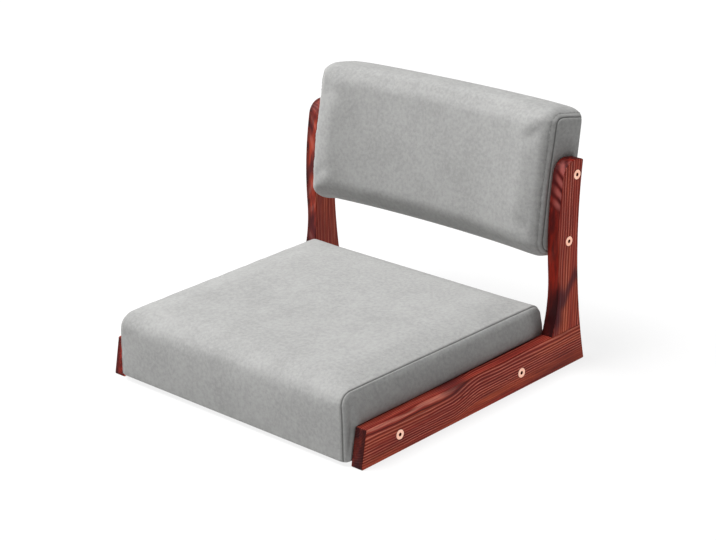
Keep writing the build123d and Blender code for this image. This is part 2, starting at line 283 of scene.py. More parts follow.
charredPine = {
    "deep": (0.20, 0.011, 0.009), "body": (0.37, 0.037, 0.022),
    "warm": (0.51, 0.085, 0.032), "amber": (0.58, 0.135, 0.048),
    "groove": (0.080, 0.0047, 0.0030), "crest": (0.82, 0.255, 0.175), "smear": (0.085, 0.012, 0.016),
    "edgeDark": (0.050, 0.0035, 0.0042), "edgeBright": (0.32, 0.016, 0.0060),
    # the pink below is a painted highlight for the pillows on the post's front edge
    "paintedPinkHighlight": (0.30, 0.075, 0.066), "burnt": (0.022, 0.0022, 0.0028),
    "tintNarrow": (0.36, 0.20, 0.20), "tintTop": (0.62, 0.50, 0.50),  # times the broad faces' colour
    "ringWidth": 2.75, "relief": 0.55, "arris": 1.5, "wander": 8, "fineWander": 2.2,  # millimetres
    "crestRise": (0.30, 0.47), "crestFall": (0.76, 0.58),  # shares of one ring
    "grooveFall": (0.26, 0.08), "grooveRise": (0.80, 0.96),
}
pineFigure = {  # waves per metre, detail, roughness; Y is along the grain
    "wander": ((14, 3.5, 14), 3), "fineWander": ((60, 14, 60), 2), "strength": ((35, 5, 35), 3),
    "broken": ((260, 14, 260), 2), "fibre": ((1500, 42, 1500), 3, 0.6), "streak": ((330, 9, 330), 3, 0.6),
    "hair": ((760, 16, 760), 2, 0.6), "patch": ((30, 7, 60), 3), "blotch": ((95, 24, 60), 3, 0.55),
}
postGrain = math.radians(-83)  # turns the posts' grain into Y
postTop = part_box("back_post_right")[1]
crown = postTop.y * math.cos(postGrain) - postTop.z * math.sin(postGrain)  # the post's top, along its grain
boards = {  # millimetres, y from the rails' front ends
    # heart: the pith, in x from the rail's inside and across the grain; climb: first, last and rise
    # knots: y, z, size, length, depth; smear: y, z to y, z, half width; painted pillow highlights: from the
    # top, pitch
    "side_rail_right": {
        "look": "charredPineRailRight", "seed": 3.1, "heart": (0, 46), "edgeLift": (0.55, 1.3, 2.0),
        "climb": (148, 206, 9.5), "plainBelow": (1, 8),
        "knots": [(160, 44, 15, 2.2, 0.65), (345, 3, 24, 4.5, 0.5)],
    },
    "side_rail_left": {"look": "charredPineRailLeft", "seed": 11.7, "heart": (5, 12)},
    "back_post_right": {
        "look": "charredPinePostRight", "seed": 5.3, "heart": (-4, 0), "tilt": postGrain, "ringWidth": 4.3,
        "knots": [(341, 70, 30, 0.62, 1.0), (350, 94, 22, 0.8, 0.85)],
        "smear": (384, 119.5, 319.5, 57.4, 6.5), "pillowHighlights": (-66, 2, 15), "darkFoot": (72, 118),
    },
    "back_post_left": {
        "look": "charredPinePostLeft", "seed": 8.9, "heart": (26, 0), "tilt": postGrain,
        "edgeLift": (1.5, 3.2, 3.6),
    },
}


def charredPineShader(board):
    look = charredPine
    s = Shader(board["look"], Specular_IOR_Level=0.12)
    place = s.place()
    sockets = {"Vector": place, "Center": (0, 0, 0), "Angle": board.get("tilt", 0.0)}
    turned = s.node("ShaderNodeVectorRotate", {"rotation_type": "X_AXIS"}, sockets)
    x, along, across = turned.parts()
    y, height = place.parts()[1:]
    fromFront = y - frontEnd
    seed = board["seed"]
    offset = (seed, seed * 1.7, seed * 0.6)
    seeded = s.node("ShaderNodeVectorMath", {"operation": "ADD"}, {0: turned, 1: offset})

    def figure(name):
        return s.noise(seeded, *pineFigure[name])

    # rings about the pith, each with its own strength, pale at the crest and dark in the groove
    if "climb" in board:  # the grain climbs as it passes a knot
        first, last, rise = (c * mm for c in board["climb"])
        across = across - s.between(fromFront, first, last, 0.0, rise)
    wander = (figure("wander") - 0.5) * (look["wander"] * mm)
    wander = wander + (figure("fineWander") - 0.5) * (look["fineWander"] * mm)
    heartX, heartZ = (c * mm for c in board["heart"])
    away = ((abs(x) - railInside - heartX) ** 2 + (across - heartZ) ** 2) ** 0.5
    rings = (away + wander) / (board.get("ringWidth", look["ringWidth"]) * mm)
    tooth = rings.join("FRACT")
    own = s.node("ShaderNodeTexWhiteNoise", {"noise_dimensions": "1D"}, {"W": rings.join("FLOOR") + seed})
    strength = s.between(figure("strength"), 0.25, 0.6, 0.55, 1.0) * s.between(own, 0.0, 0.7, 0.4, 1.0)
    if "plainBelow" in board:
        strength = strength * s.betweenMm(across, *board["plainBelow"], 0.25, 1.0)
    broken = s.between(figure("broken"), 0.30, 0.55, 0.6, 1.0)
    crest = s.between(tooth, *look["crestRise"]) * s.between(tooth, *look["crestFall"]) * strength * broken
    groove = (s.between(tooth, *look["grooveFall"]) + s.between(tooth, *look["grooveRise"])) * strength

    # the broad faces
    fibre, streak, patch = figure("fibre"), figure("streak"), figure("patch")
    tone = s.ramp(
        streak * 0.40 + patch - 0.26,
        (0.0, look["deep"]), (0.36, look["body"]), (0.62, look["warm"]), (0.95, look["amber"]),
    )
    tone = s.blend(crest * 0.80, tone, look["crest"])
    tone = s.blend(groove * 0.90, tone, look["groove"])
    tone = s.blend(s.between(fibre, 0.42, 0.75, 0.0, 0.35), tone, look["groove"])
    tone = s.blend(s.between(figure("hair"), 0.47, 0.68, 0.0, 0.55), tone, look["groove"])
    for y, z, size, long, depth in board.get("knots", ()):
        reach = (((fromFront - y * mm) / long) ** 2 + (height - z * mm) ** 2) ** 0.5
        reach = reach + (patch - 0.5) * (9 * mm)
        tone = s.blend(s.betweenMm(reach, size * 0.1, size, depth, 0), tone, look["smear"])
    if "smear" in board:  # a dark streak that crosses the board
        y0, z0, y1, z1, half = (c * mm for c in board["smear"])
        length = math.hypot(y1 - y0, z1 - z0)
        u, v = (y1 - y0) / length, (z1 - z0) / length
        forward, upward = fromFront - y0, height - z0
        off = abs(forward * v - upward * u + (patch - 0.5) * (22 * mm))
        run = forward * u + upward * v
        inside = s.between(run, -10 * mm, 6 * mm) * s.between(run, length + 10 * mm, length - 4 * mm)
        tone = s.blend(s.between(off, half * 0.2, half * 1.6, 0.85, 0) * inside, tone, look["smear"])

    # the narrow faces are stained darker and redder
    normal = s.node("ShaderNodeNewGeometry", output="Normal")
    facingX, facingY, facingZ = normal.parts()
    broad = s.between(abs(facingX), 0.45, 0.75)
    outer = abs(x) - railInside  # across the board, from its inner face
    edge = s.blend(s.between(figure("blotch"), 0.38, 0.66), look["edgeDark"], look["edgeBright"])
    edge = s.blend(s.between(streak, 0.46, 0.62, 0.0, 0.55), edge, look["edgeDark"])
    edge = s.blend(0.35, edge, s.tint(tone, look["tintNarrow"]))
    if "pillowHighlights" in board:  # painted pink highlights in pillow shapes near the top of the front edge, with painted shade between them
        low, high, pitch = (c * mm for c in board["pillowHighlights"])
        swing = ((along + outer * 0.8 + (patch - 0.5) * (14 * mm)) / pitch).join("FRACT")
        highlight = s.between(swing, 0.05, 0.45) * s.between(swing, 0.98, 0.6)
        zone = s.between(along - crown, low, low + 12 * mm) * s.between(along - crown, high, high - 6 * mm)
        zone = zone * s.between(facingY, -0.1, -0.4)
        edge = s.blend(zone * (1 - highlight) * 0.75, edge, look["edgeDark"])
        edge = s.blend(zone * highlight * s.betweenMm(outer, 2, 13, 0.05, 0.9), edge, look["paintedPinkHighlight"])
    if "edgeLift" in board:
        edge = s.tint(edge, board["edgeLift"])
    notch = s.betweenMm(outer, 10, 14) * (0.7 + groove * 0.3)
    if "darkFoot" in board:
        foot = s.betweenMm(height, *board["darkFoot"], 1.0, 0.0)
        edge = s.blend(foot * 0.75, edge, look["burnt"])
        notch = notch * foot
    edge = s.blend(notch * 0.92, edge, look["burnt"])  # scorched along the outer arris, notch by notch
    if "tilt" not in board:
        edge = s.blend(s.between(facingZ, 0.45, 0.75), edge, s.tint(tone, look["tintTop"]))
    tone = s.blend(broad, edge, tone)
    rounded = s.node("ShaderNodeBevel", {"samples": 4}, {"Radius": look["arris"] * mm})
    same = s.node("ShaderNodeVectorMath", {"operation": "DOT_PRODUCT"}, {0: rounded, 1: normal}, "Value")
    tone = s.blend(s.between(same, 0.999, 0.90, 0, 0.7), tone, look["edgeDark"])
    s.feed(Base_Color=tone, Roughness=s.between(crest, 0, 1, 0.62, 0.46))
    relief = (crest * 0.75 + fibre * 0.22 + streak * 0.2) * s.between(broad, 0, 1, 0.35, 1.0)
    s.bump(relief, look["relief"] * mm, Normal=rounded)
    return s.material


greyCloth = {
    # seam: painted shade for the seams' creases and the stitch holes
    "light": (0.375, 0.375, 0.368), "shade": (0.285, 0.285, 0.280), "seam": (0.085, 0.085, 0.082),
    "cloud": 26, "mottle": 230, "fibre": 1300, "warp": (2600, 500, 900), "relief": 0.22 * mm,
}


def greyClothShader(name):
    look = greyCloth
    s = Shader(name, Specular_IOR_Level=0.25, Sheen_Weight=0.05, Sheen_Roughness=0.5, Roughness=0.92)
    place = s.place()
    cloud = s.noise(place, look["cloud"], 3)
    mottle = s.noise(place, look["mottle"], 3, 0.62)
    fibre = s.noise(place, look["fibre"], 2, 0.6)
    warp = s.noise(place, look["warp"], 1)
    amount = (cloud - 0.5) * 0.55 + (mottle - 0.5) * 1.15 + (fibre - 0.5) * 0.5 + 0.5
    tone = s.blend(s.between(amount, 0.1, 0.9), look["shade"], look["light"])
    # painted shade along the seams and in the stitch holes, from the seamShade attribute
    seam = s.node("ShaderNodeAttribute", {"attribute_name": "seamShade"}, output="Fac")
    s.feed(Base_Color=s.blend(seam * 0.9, tone, look["seam"]))
    s.bump(fibre * 0.5 + warp * 0.3 + mottle * 0.5, look["relief"])
    return s.material


metals = {  # darkest colour, lightest colour, roughness
    "paleBrass": ((0.90, 0.49, 0.36), (1.0, 0.64, 0.50), 0.36),
    "zincPlate": ((0.42, 0.43, 0.42), (0.66, 0.66, 0.62), 0.38),
    "screwSteel": ((0.55, 0.48, 0.30), (0.74, 0.66, 0.44), 0.34),
    "stapleWire": ((0.45, 0.45, 0.44), (0.72, 0.72, 0.70), 0.35),
}
# painted shade in and round the hex sockets of the bolt heads
socketShade = {"colour": (0.26, 0.10, 0.055), "reach": (2.0 * mm, 2.7 * mm), "depth": 0.85}


def metalShader(name, sockets=()):
    dark, light, roughness = metals[name]
    s = Shader(name, Metallic=1.0)
    place = s.place()
    wear = s.noise(place, 160, 3)
    hair = s.noise(place, (900, 900, 180), 2)
    tone = s.blend(s.between(wear, 0.3, 0.7), dark, light)
    along, height = place.parts()[1:]
    for y, z in sockets:  # painted shade in and round the hex sockets
        reach = ((along - y) ** 2 + (height - z) ** 2) ** 0.5
        amount = s.between(reach, *socketShade["reach"], socketShade["depth"], 0)
        tone = s.blend(amount, tone, socketShade["colour"])
    s.feed(Base_Color=tone, Roughness=s.between(hair + wear, 0.6, 1.4, roughness - 0.07, roughness + 0.12))
    s.bump(hair, 0.03 * mm)
    return s.material


plainWoods = {  # pale colour, dark colour, width of a ring
    "framePine": ((0.62, 0.42, 0.24), (0.42, 0.24, 0.11), 3.4 * mm),
    "plywoodSheet": ((0.58, 0.42, 0.26), (0.36, 0.22, 0.11), 5.0 * mm),
    "dowelBeech": ((0.60, 0.38, 0.24), (0.42, 0.24, 0.13), 1.8 * mm),
}


def plainWoodShader(name, twoPlies=None):
    pale, dark, ring = plainWoods[name]
    s = Shader(name, Specular_IOR_Level=0.35)
    place = s.place()
    x, y, z = place.parts()
    wander = (s.noise(place, (9, 2, 9), 3) - 0.5) * (10 * mm)
    tooth = (((x ** 2 + (z - 0.10) ** 2) ** 0.5 + wander) / ring).join("FRACT")
    late = s.between(tooth, 0.35, 0.9) * s.between(tooth, 1.0, 0.93)
    fibre = s.noise(place, (1400, 40, 1400), 3, 0.6)
    tone = s.blend(late * 0.75, pale, dark)
    if twoPlies:  # every second veneer is darker
        tone = s.blend(s.between((z / twoPlies).join("FRACT"), 0.46, 0.54, 0, 0.35), tone, dark)
    tone = s.blend(s.between(fibre, 0.3, 0.8, 0.0, 0.35), tone, dark)
    s.feed(Base_Color=tone, Roughness=s.between(fibre, 0, 1, 0.55, 0.72))
    s.bump(fibre + late * 0.5, 0.12 * mm)
    return s.material


paleFoam = {"pale": (0.80, 0.76, 0.62), "dark": (0.60, 0.55, 0.40), "cells": 900.0, "relief": 0.3 * mm}


def foamShader():
    s = Shader("paleFoam", Roughness=0.95, Specular_IOR_Level=0.2)
    place = s.place()
    sockets = {"Vector": place, "Scale": paleFoam["cells"]}
    cells = s.node("ShaderNodeTexVoronoi", {}, sockets, "Distance")
    amount = s.between(cells + s.noise(place, 40, 3) * 0.4, 0.2, 1.0)
    s.feed(Base_Color=s.blend(amount, paleFoam["dark"], paleFoam["pale"]))
    s.bump(cells, paleFoam["relief"])
    return s.material


dustCloth = {
    "dark": (0.010, 0.010, 0.011), "light": (0.045, 0.045, 0.048), "strands": 210.0, "relief": 0.15 * mm,
}


def dustClothShader():
    s = Shader("blackDustCloth", Roughness=0.9, Specular_IOR_Level=0.25)
    place = s.place()
    sockets = {"Vector": place, "Scale": dustCloth["strands"], "Distortion": 9.0, "Detail": 2.0}
    strands = s.node("ShaderNodeTexWave", {"bands_direction": "DIAGONAL"}, sockets, "Fac")
    speck = s.noise(place, 700, 2)
    s.feed(Base_Color=s.blend(strands * 0.5 + speck * 0.5, dustCloth["dark"], dustCloth["light"]))
    s.bump(strands * 0.6 + speck * 0.6, dustCloth["relief"])
    return s.material


def dressNodes():
    heads = []  # y and z of the bolts' middles
    for low, high in (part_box("seat_bolts_right"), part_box("back_bolts_right")):
        half = boltHead / 2
        heads += [(low.y + half, low.z + half), (high.y - half, high.z - half)]
    steel, pine = metalShader("screwSteel"), plainWoodShader("framePine")
    ply, foam = plainWoodShader("plywoodSheet", 3 * mm), foamShader()
    finishes = (  # the first word that is in the node's name counts
        ("screws", steel), ("bolts", metalShader("paleBrass", heads)), ("nuts", metalShader("zincPlate")),
        ("dowels", plainWoodShader("dowelBeech")), ("batten", pine), ("end_block", pine),
        ("deck", ply), ("shell", ply), ("foam", foam), ("rear_sheet", foam),
        ("dust", dustClothShader()), ("cover", greyClothShader("greyClothSpare")),
    )
    for name, node in frame["nodes"].items():
        finish = next((material for word, material in finishes if word in name), None)
        if name in boards:
            finish = charredPineShader(boards[name])
        if not node.material_slots:
            node.data.materials.append(finish)
        for held in node.material_slots:
            held.material = finish


# Cushions: rings of a rounded side view, set along X, closed by a grid at each end

def roundedRing(corners, insets, steps):  # a corner is y, z and radius; insets move the sides in
    arcSteps, levelSteps, uprightSteps = steps
    ends = [np.array(c[:2], float) for c in corners]
    sides = []
    for n, start in enumerate(ends):
        along = ends[(n + 1) % 4] - start
        along /= np.linalg.norm(along)
        sides.append((start + np.array((-along[1], along[0])) * insets[n], along))
    arcs = []
    for n in range(4):
        (a, into), (b, out) = sides[n - 1], sides[n]
        corner = a + into * np.linalg.solve(np.column_stack((into, -out)), b - a)[0]
        radius = max(corners[n][2] - max(insets[n - 1], insets[n]), corners[n][2] * 0.3, 1.5 * mm)
        turn = math.acos(np.clip(into @ out, -1, 1))
        reach = radius * math.tan(turn / 2)
        centre = corner - into * reach + np.array((-into[1], into[0])) * radius
        first = corner - into * reach - centre
        square = np.array((-first[1], first[0]))
        angles = np.linspace(0, turn, arcSteps + 1)
        arcs.append([centre + first * math.cos(t) + square * math.sin(t) for t in angles])
    ring = []
    for n, arc in enumerate(arcs):
        following = arcs[(n + 1) % 4][0]
        shares = np.linspace(0, 1, (uprightSteps if n % 2 else levelSteps) + 1)[1:-1]
        ring += arc + [arc[-1] + (following - arc[-1]) * t for t in shares]
    return np.array(ring)


def cushionMesh(name, corners, width, look):
    arc, longSide, shortSide = look["steps"]
    radius = look["sideRadius"] * mm
    insets = (look["underRadius"] * mm, look["rearEndRadius"] * mm, radius, radius)
    turns = np.linspace(0, math.pi / 2, look["bendSteps"] + 1)[1:]
    bend = [(width - radius + radius * math.sin(t), 1 - math.cos(t)) for t in turns]
    flat = [(x, 0.0) for x in np.linspace(-(width - radius), width - radius, look["stations"])]
    rings = []
    for x, share in [(-x, share) for x, share in reversed(bend)] + flat + bend:
        ring = roundedRing(corners, [inset * share for inset in insets], look["steps"])
        rings.append(np.column_stack((np.full(len(ring), x), ring)))
    count = len(rings[0])
    points = list(np.concatenate(rings))
    faces = []
    for n in range(len(rings) - 1):
        for k in range(count):
            a, b = n * count + k, n * count + (k + 1) % count
            faces.append((a, b, b + count, a + count))
    half = arc // 2  # the grid's corners are halfway round the arcs
    wide, tall = longSide + arc, shortSide + arc
    for base, outward in ((0, -1), ((len(rings) - 1) * count, 1)):
        rim = [base + (half + k) % count for k in range(count + 1)]
        grid = {}
        for u in range(wide + 1):
            grid[u, 0] = rim[u]
            grid[wide - u, tall] = rim[wide + tall + u]
        for v in range(tall + 1):
            grid[wide, v] = rim[wide + v]
            grid[0, tall - v] = rim[2 * wide + tall + v]
        c = [points[grid[key]] for key in ((0, 0), (wide, 0), (0, tall), (wide, tall))]
        for u in range(1, wide):
            for v in range(1, tall):
                s, t = u / wide, v / tall
                low, high, left, right = (points[grid[key]] for key in ((u, 0), (u, tall), (0, v), (wide, v)))
                inner = (1 - t) * low + t * high + (1 - s) * left + s * right
                corner = (1 - s) * (1 - t) * c[0] + s * (1 - t) * c[1] + (1 - s) * t * c[2] + s * t * c[3]
                grid[u, v] = len(points)
                points.append(inner - corner)
        for u in range(wide):
            for v in range(tall):
                quad = (grid[u, v], grid[u + 1, v], grid[u + 1, v + 1], grid[u, v + 1])
                faces.append(quad if outward > 0 else quad[::-1])
    piece = newPiece(name, points, faces)
    piece.data.validate()
    faceOutwards(piece)
    return piece


filling = {
    "pressure": 4.0, "tension": 18, "bending": 0.4, "mass": 0.2, "frames": 20,
    "draw": 0.8 * mm, "sideways": 0.25,  # the most it may sink, and what is kept of side slip
    "arrisInset": 3 * mm, "arrisWidth": 4 * mm,
}


def tightArris(points, width, share):
    return share * bell(np.abs(points[:, 0]) - width + filling["arrisInset"], filling["arrisWidth"])


def swell(piece, fill):  # cloth filled from inside; its movement is then capped
    before, out = coordinates(piece.data), normals(piece.data)
    held = piece.vertex_groups.new(name="held")
    for index, share in enumerate(fill["hold"](before)):
        if share > 0:
            held.add([index], float(share), "REPLACE")
    makeActive(piece)
    cloth = piece.modifiers.new("fill", "CLOTH")
    fabric = cloth.settings
    fabric.quality = 5
    fabric.mass = filling["mass"]
    fabric.tension_stiffness = fabric.compression_stiffness = filling["tension"]
    fabric.shear_stiffness = filling["tension"] / 3
    fabric.bending_stiffness = filling["bending"]
    fabric.use_pressure = True
    fabric.uniform_pressure_force = filling["pressure"]
    fabric.vertex_group_mass = "held"
    fabric.effector_weights.gravity = 0
    cloth.collision_settings.use_collision = False
    cloth.point_cache.frame_start, cloth.point_cache.frame_end = 1, filling["frames"]
    for step in range(1, filling["frames"] + 1):
        bpy.context.scene.frame_set(step)
    bpy.ops.object.modifier_apply(modifier=cloth.name)
    bpy.context.scene.frame_set(1)
    piece.vertex_groups.clear()
    move = coordinates(piece.data) - before
    outward = np.einsum("ij,ij->i", move, out)
    sideways = move - out * outward[:, None]
    low, high = (round(float(edge) / mm, 2) for edge in (outward.min(), outward.max()))
    print("  ", piece.name, "outward", low, "to", high, "mm")
    outward *= 1 - fill["frontEase"] * np.clip(-out[:, 1], 0, 1)
    outward = np.clip(outward, -filling["draw"], fill["cap"])
    setCoordinates(piece.data, before + out * outward[:, None] + sideways * filling["sideways"])


def refine(piece):
    makeActive(piece)
    finer = piece.modifiers.new("finer", "SUBSURF")
    finer.levels = finer.render_levels = 1
    bpy.ops.object.modifier_apply(modifier=finer.name)


def cutLoops(piece, places):  # edge loops at planes across X
    makeActive(piece)
    startEdit()
    for x in places:
        bpy.ops.mesh.select_all(action="SELECT")
        bpy.ops.mesh.bisect(plane_co=(x, 0, 0), plane_no=(1, 0, 0))
    endEdit()


def ringAt(mesh, x):  # the points on one of those loops, in order
    on = set(np.nonzero(np.abs(coordinates(mesh)[:, 0] - x) < 0.11 * mm)[0].tolist())
    links = {index: [] for index in on}
    for e in mesh.edges:
        a, b = e.vertices
        if a in on and b in on:
            links[a].append(b)
            links[b].append(a)
    start = max(on, key=lambda k: mesh.vertices[k].co.z)
    path = [start, links[start][0]]
    while path[-1] != start and len(path) <= len(on):
        path.append(next((k for k in links[path[-1]] if k != path[-2]), start))
    return path[:-1]


seamForm = {  # millimetres from the seam, along the rounded side
    "cuts": (-3.4, -1.9, -1.0, -0.45, 0.0, 0.45, 1.0, 1.9, 3.4), "rowCuts": (-0.9, 0.0, 0.7),
    "lastTurn": 1.48,  # radians round the side, past which nothing is cut
    "valley": 0.8, "outerRidge": (2.0, 1.2, 0.4), "innerRidge": (-2.4, 1.6, 1.0),  # place, width, share
    "holeWidth": 1.0, "holePull": (0.75, 1.3), "holeLimits": (0.15, 1.5),
    "creaseWidth": 6.0, "wrinkleWidth": 14, "wrinkleShare": 0.9, "reach": 26,
    "holeWaves": (40, 190, 190), "creaseWaves": (30, 110, 110), "wrinkleWaves": (24, 36, 36),  # per metre
    "shadeWidth": 0.55, "holeShade": 0.24,
}


def sewSeams(piece, look, sewing):
    form = seamForm
    radius, turn, row = look["sideRadius"] * mm, math.radians(look["seamTurn"]), sewing["row"]
    start = sewing["halfWidth"] - radius  # where the rounding begins
    seed = Vector(sewing["seed"])

    def across(distance):  # from the seam, round the side, to x
        angle = turn + distance / radius
        return start + (radius * math.sin(angle) if angle > 0 else angle * radius)

    def waves(point, scale):
        return noise.noise(Vector([c * k for c, k in zip(point, scale)]) + seed)

    offsets = [cut * mm for cut in form["cuts"]]
    if row:
        offsets += [-row * mm + cut * mm for cut in form["rowCuts"]]
    places = [across(offset) for offset in offsets if turn + offset / radius < form["lastTurn"]]
    for side in (-1, 1):
        cutLoops(piece, [side * x for x in places])
    loops = [ringAt(piece.data, side * across(-row * mm)) for side in (-1, 1)] if row else []
    points, out = coordinates(piece.data), normals(piece.data)
    beyond = np.abs(points[:, 0]) - start
    rounded = radius * (np.arcsin(np.clip(beyond / radius, 0, 1)) - turn)
    past = np.where(beyond > 0, rounded, beyond - radius * turn) / mm
    move = -sewing["depth"] * bell(past, form["valley"])
    for place, width, share in (form["outerRidge"], form["innerRidge"]):
        move += sewing["puff"] * share * bell(past - place, width)
    holes = bell(past + row, form["holeWidth"]) if row else np.zeros(len(points))
    middle, swing = form["holePull"]
    for index in np.nonzero(holes > 0.05)[0]:  # the thread pulls harder at some stitches than at others
        pull = middle + swing * waves(points[index], form["holeWaves"])
        holes[index] *= np.clip(pull, *form["holeLimits"])
    move -= sewing["rowDepth"] * holes
    creases = bell(past + row * 0.8, form["creaseWidth"])
    wrinkles = form["wrinkleShare"] * bell(past, form["wrinkleWidth"])
    for index in np.nonzero((np.abs(past) < form["reach"]) & (beyond < radius * 0.995))[0]:
        crease = waves(points[index], form["creaseWaves"]) * creases[index]
        wrinkle = waves(points[index], form["wrinkleWaves"]) * wrinkles[index]
        move[index] += sewing["pucker"] * (crease + wrinkle)
    shown = sewing["where"](points)
    setCoordinates(piece.data, points + out * (move * shown * sewing["give"](points))[:, None])
    # painted shade along the seam's crease and in the stitch holes, kept for the cloth's colour
    shade = piece.data.attributes.new("seamShade", "FLOAT", "POINT")
    dark = np.maximum(bell(past, form["shadeWidth"]), form["holeShade"] * holes)
    shade.data.foreach_set("value", (dark * shown).astype(np.float32))
    after, facing = coordinates(piece.data), normals(piece.data)
    return [(after[loop], facing[loop]) for loop in loops]


topstitching = {
    "thickness": 0.75 * mm, "length": 3.4 * mm, "pitch": 4.6 * mm, "lift": 0.12 * mm,
    "straight": 0.6, "dive": 0.2,  # shares of the length
    "sink": 0.3, "taper": 0.45,  # at the ends, shares of the thickness
    "dark": (0.20, 0.20, 0.195), "light": (0.36, 0.36, 0.35),
}


def threadShader():
    s = Shader("greyThread", Specular_IOR_Level=0.3, Roughness=0.7)
    twist = s.noise(s.place(), (2400, 700, 700), 1)
    s.feed(Base_Color=s.blend(twist, topstitching["dark"], topstitching["light"]))
    s.bump(twist, 0.1 * mm)
    return s.material


def modelStitch():  # one stitch along Z, thinner where it dives
    look = topstitching
    thick, long = look["thickness"], look["length"]
    deselectAll()
    bpy.ops.mesh.primitive_cylinder_add(vertices=6, radius=thick / 2, depth=long * look["straight"])
    stitch = bpy.context.active_object
    startEdit("DESELECT")
    endEdit()
    for end in (-1, 1):
        for face in stitch.data.polygons:
            face.select = face.normal.z * end > 0.9
        startEdit()
        step = (-look["sink"] * thick, 0, end * long * look["dive"])
        bpy.ops.mesh.extrude_region_move(TRANSFORM_OT_translate={"value": step})
        bpy.ops.transform.resize(value=(look["taper"], look["taper"], 1), center_override=(step[0], 0, 0))
        bpy.ops.mesh.select_all(action="DESELECT")
        endEdit()
    return stitch


def stitchRows(name, rows):  # copies of the stitch along each row of the seam
    look = topstitching
    shape, quads = takeShape(modelStitch())
    points, faces = [], []
    for path, facing in rows:
        closed = np.vstack((path, path[:1]))
        lengths = np.concatenate(([0], np.cumsum(np.linalg.norm(np.diff(closed, axis=0), axis=1))))
        whole = lengths[-1]
        total = int(whole / look["pitch"])
        for n in range(total):
            middle = (n + 0.5) * whole / total
            spots = [(middle + share * look["length"] / 2) % whole for share in (-1, 0, 1)]
            a, m, b = (np.array([np.interp(t, lengths, closed[:, k]) for k in range(3)]) for t in spots)
            up = facing[min(int(np.searchsorted(lengths, middle)), len(facing) - 1)]
            along = (b - a) / np.linalg.norm(b - a)
            up = up - along * (up @ along)
            up /= np.linalg.norm(up)
            across = np.cross(along, up)
            base = len(points)
            turned = shape[:, :1] * up + shape[:, 1:2] * across + shape[:, 2:] * along
            points += list(m + up * look["lift"] + turned)
            faces += [tuple(base + k for k in f) for f in quads]
    piece = newPiece(name, points, faces)
    faceOutwards(piece)
    return piece


# Seat cushion

seatLook = {  # millimetres and degrees; front and rear are from the rails' front ends
    "front": -7.0, "frontRake": 5.0, "rear": 345.5, "rearRake": 4.0,
    "bottom": 6.0, "frontHeight": 89.0, "rearHeight": 84.5, "topHalfWidth": 196.5,
    "slack": 1.0,  # the mesh starts this far inside the finished cushion
    "frontRadius": 18.0, "rearRadius": 14.0, "tuckRadius": 4.0, "sideRadius": 6.5,
    "underRadius": 2.8, "rearEndRadius": 6.5,
    "steps": (6, 48, 9), "stations": 55, "bendSteps": 5,  # steps: round a corner, along the top, up a side
    "seamTurn": 33.0, "seamHeight": 83,  # the sides lean out below the seam
    "spread": 8.9, "spreadFront": 3.4, "spreadRear": 3.0, "overhang": 6, "railRake": 12.0,
    "fixedUnder": (7, 12), "arrisHold": 0.75, "cap": 5, "frontEase": 0.7,
    "brow": (9, 8), "browReach": 17, "browWave": 0.8,  # the front edge: how far behind and below the corner
    "crown": 2.2, "crownEnds": 32, "crownFront": (4, 46), "crownRear": (50, 6), "crownLevels": (60, 80),
    "lip": 1.1, "lipLevels": (6, 26), "lipDepth": 12,
}


def seatSides(points):  # over the rails the sides bulge, between them they don't
    look, width = seatLook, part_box("seat_cover")[1].x
    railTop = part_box("side_rail_right")[1].z
    post = frame["nodes"]["back_post_right"]
    levels = np.linspace(railTop + 1 * mm, 92 * mm, 16)
    toe = []  # y of the post's front edge at each level
    for z in levels:
        hit, place = post.ray_cast((railInside + 8 * mm, frontEnd + 200 * mm, z), (0, 1, 0))[:2]
        toe.append(place.y if hit else 1.0)
    x, y, z = np.abs(points[:, 0]), points[:, 1], points[:, 2]
    low = np.clip((z - railTop) / (look["seamHeight"] * mm - railTop), 0, 1)
    spread = look["spread"] * mm * (1 - low ** 1.6)
    ahead = mmStep(-3, 6, frontEnd + look["railRake"] * mm * np.clip(z / railTop, 0, 1) - y)
    spread = spread + (look["spreadFront"] * mm * (1 - low ** 2.2) - spread) * ahead
    behind = mmStep(look["rear"] - 42, look["rear"] - 8, y - frontEnd)
    spread = spread + (look["spreadRear"] * mm * (1 - low ** 1.6) - spread) * behind
    wide = x + spread * mmStep(look["topHalfWidth"] - look["sideRadius"], look["topHalfWidth"], x)
    above = smoothStep(railTop + 0.2 * mm, railTop + 2.2 * mm, z)
    before = mmStep(0.3, 5, frontEnd + look["railRake"] * mm * z / railTop - y)
    clear = np.maximum(above, before) * (1 - mmStep(-4, -0.6, y - np.interp(z, levels, toe)))
    wide = np.minimum(wide, width - 0.1 * mm + clear * look["overhang"] * mm)
    return np.column_stack((np.sign(points[:, 0]) * wide, y, z))


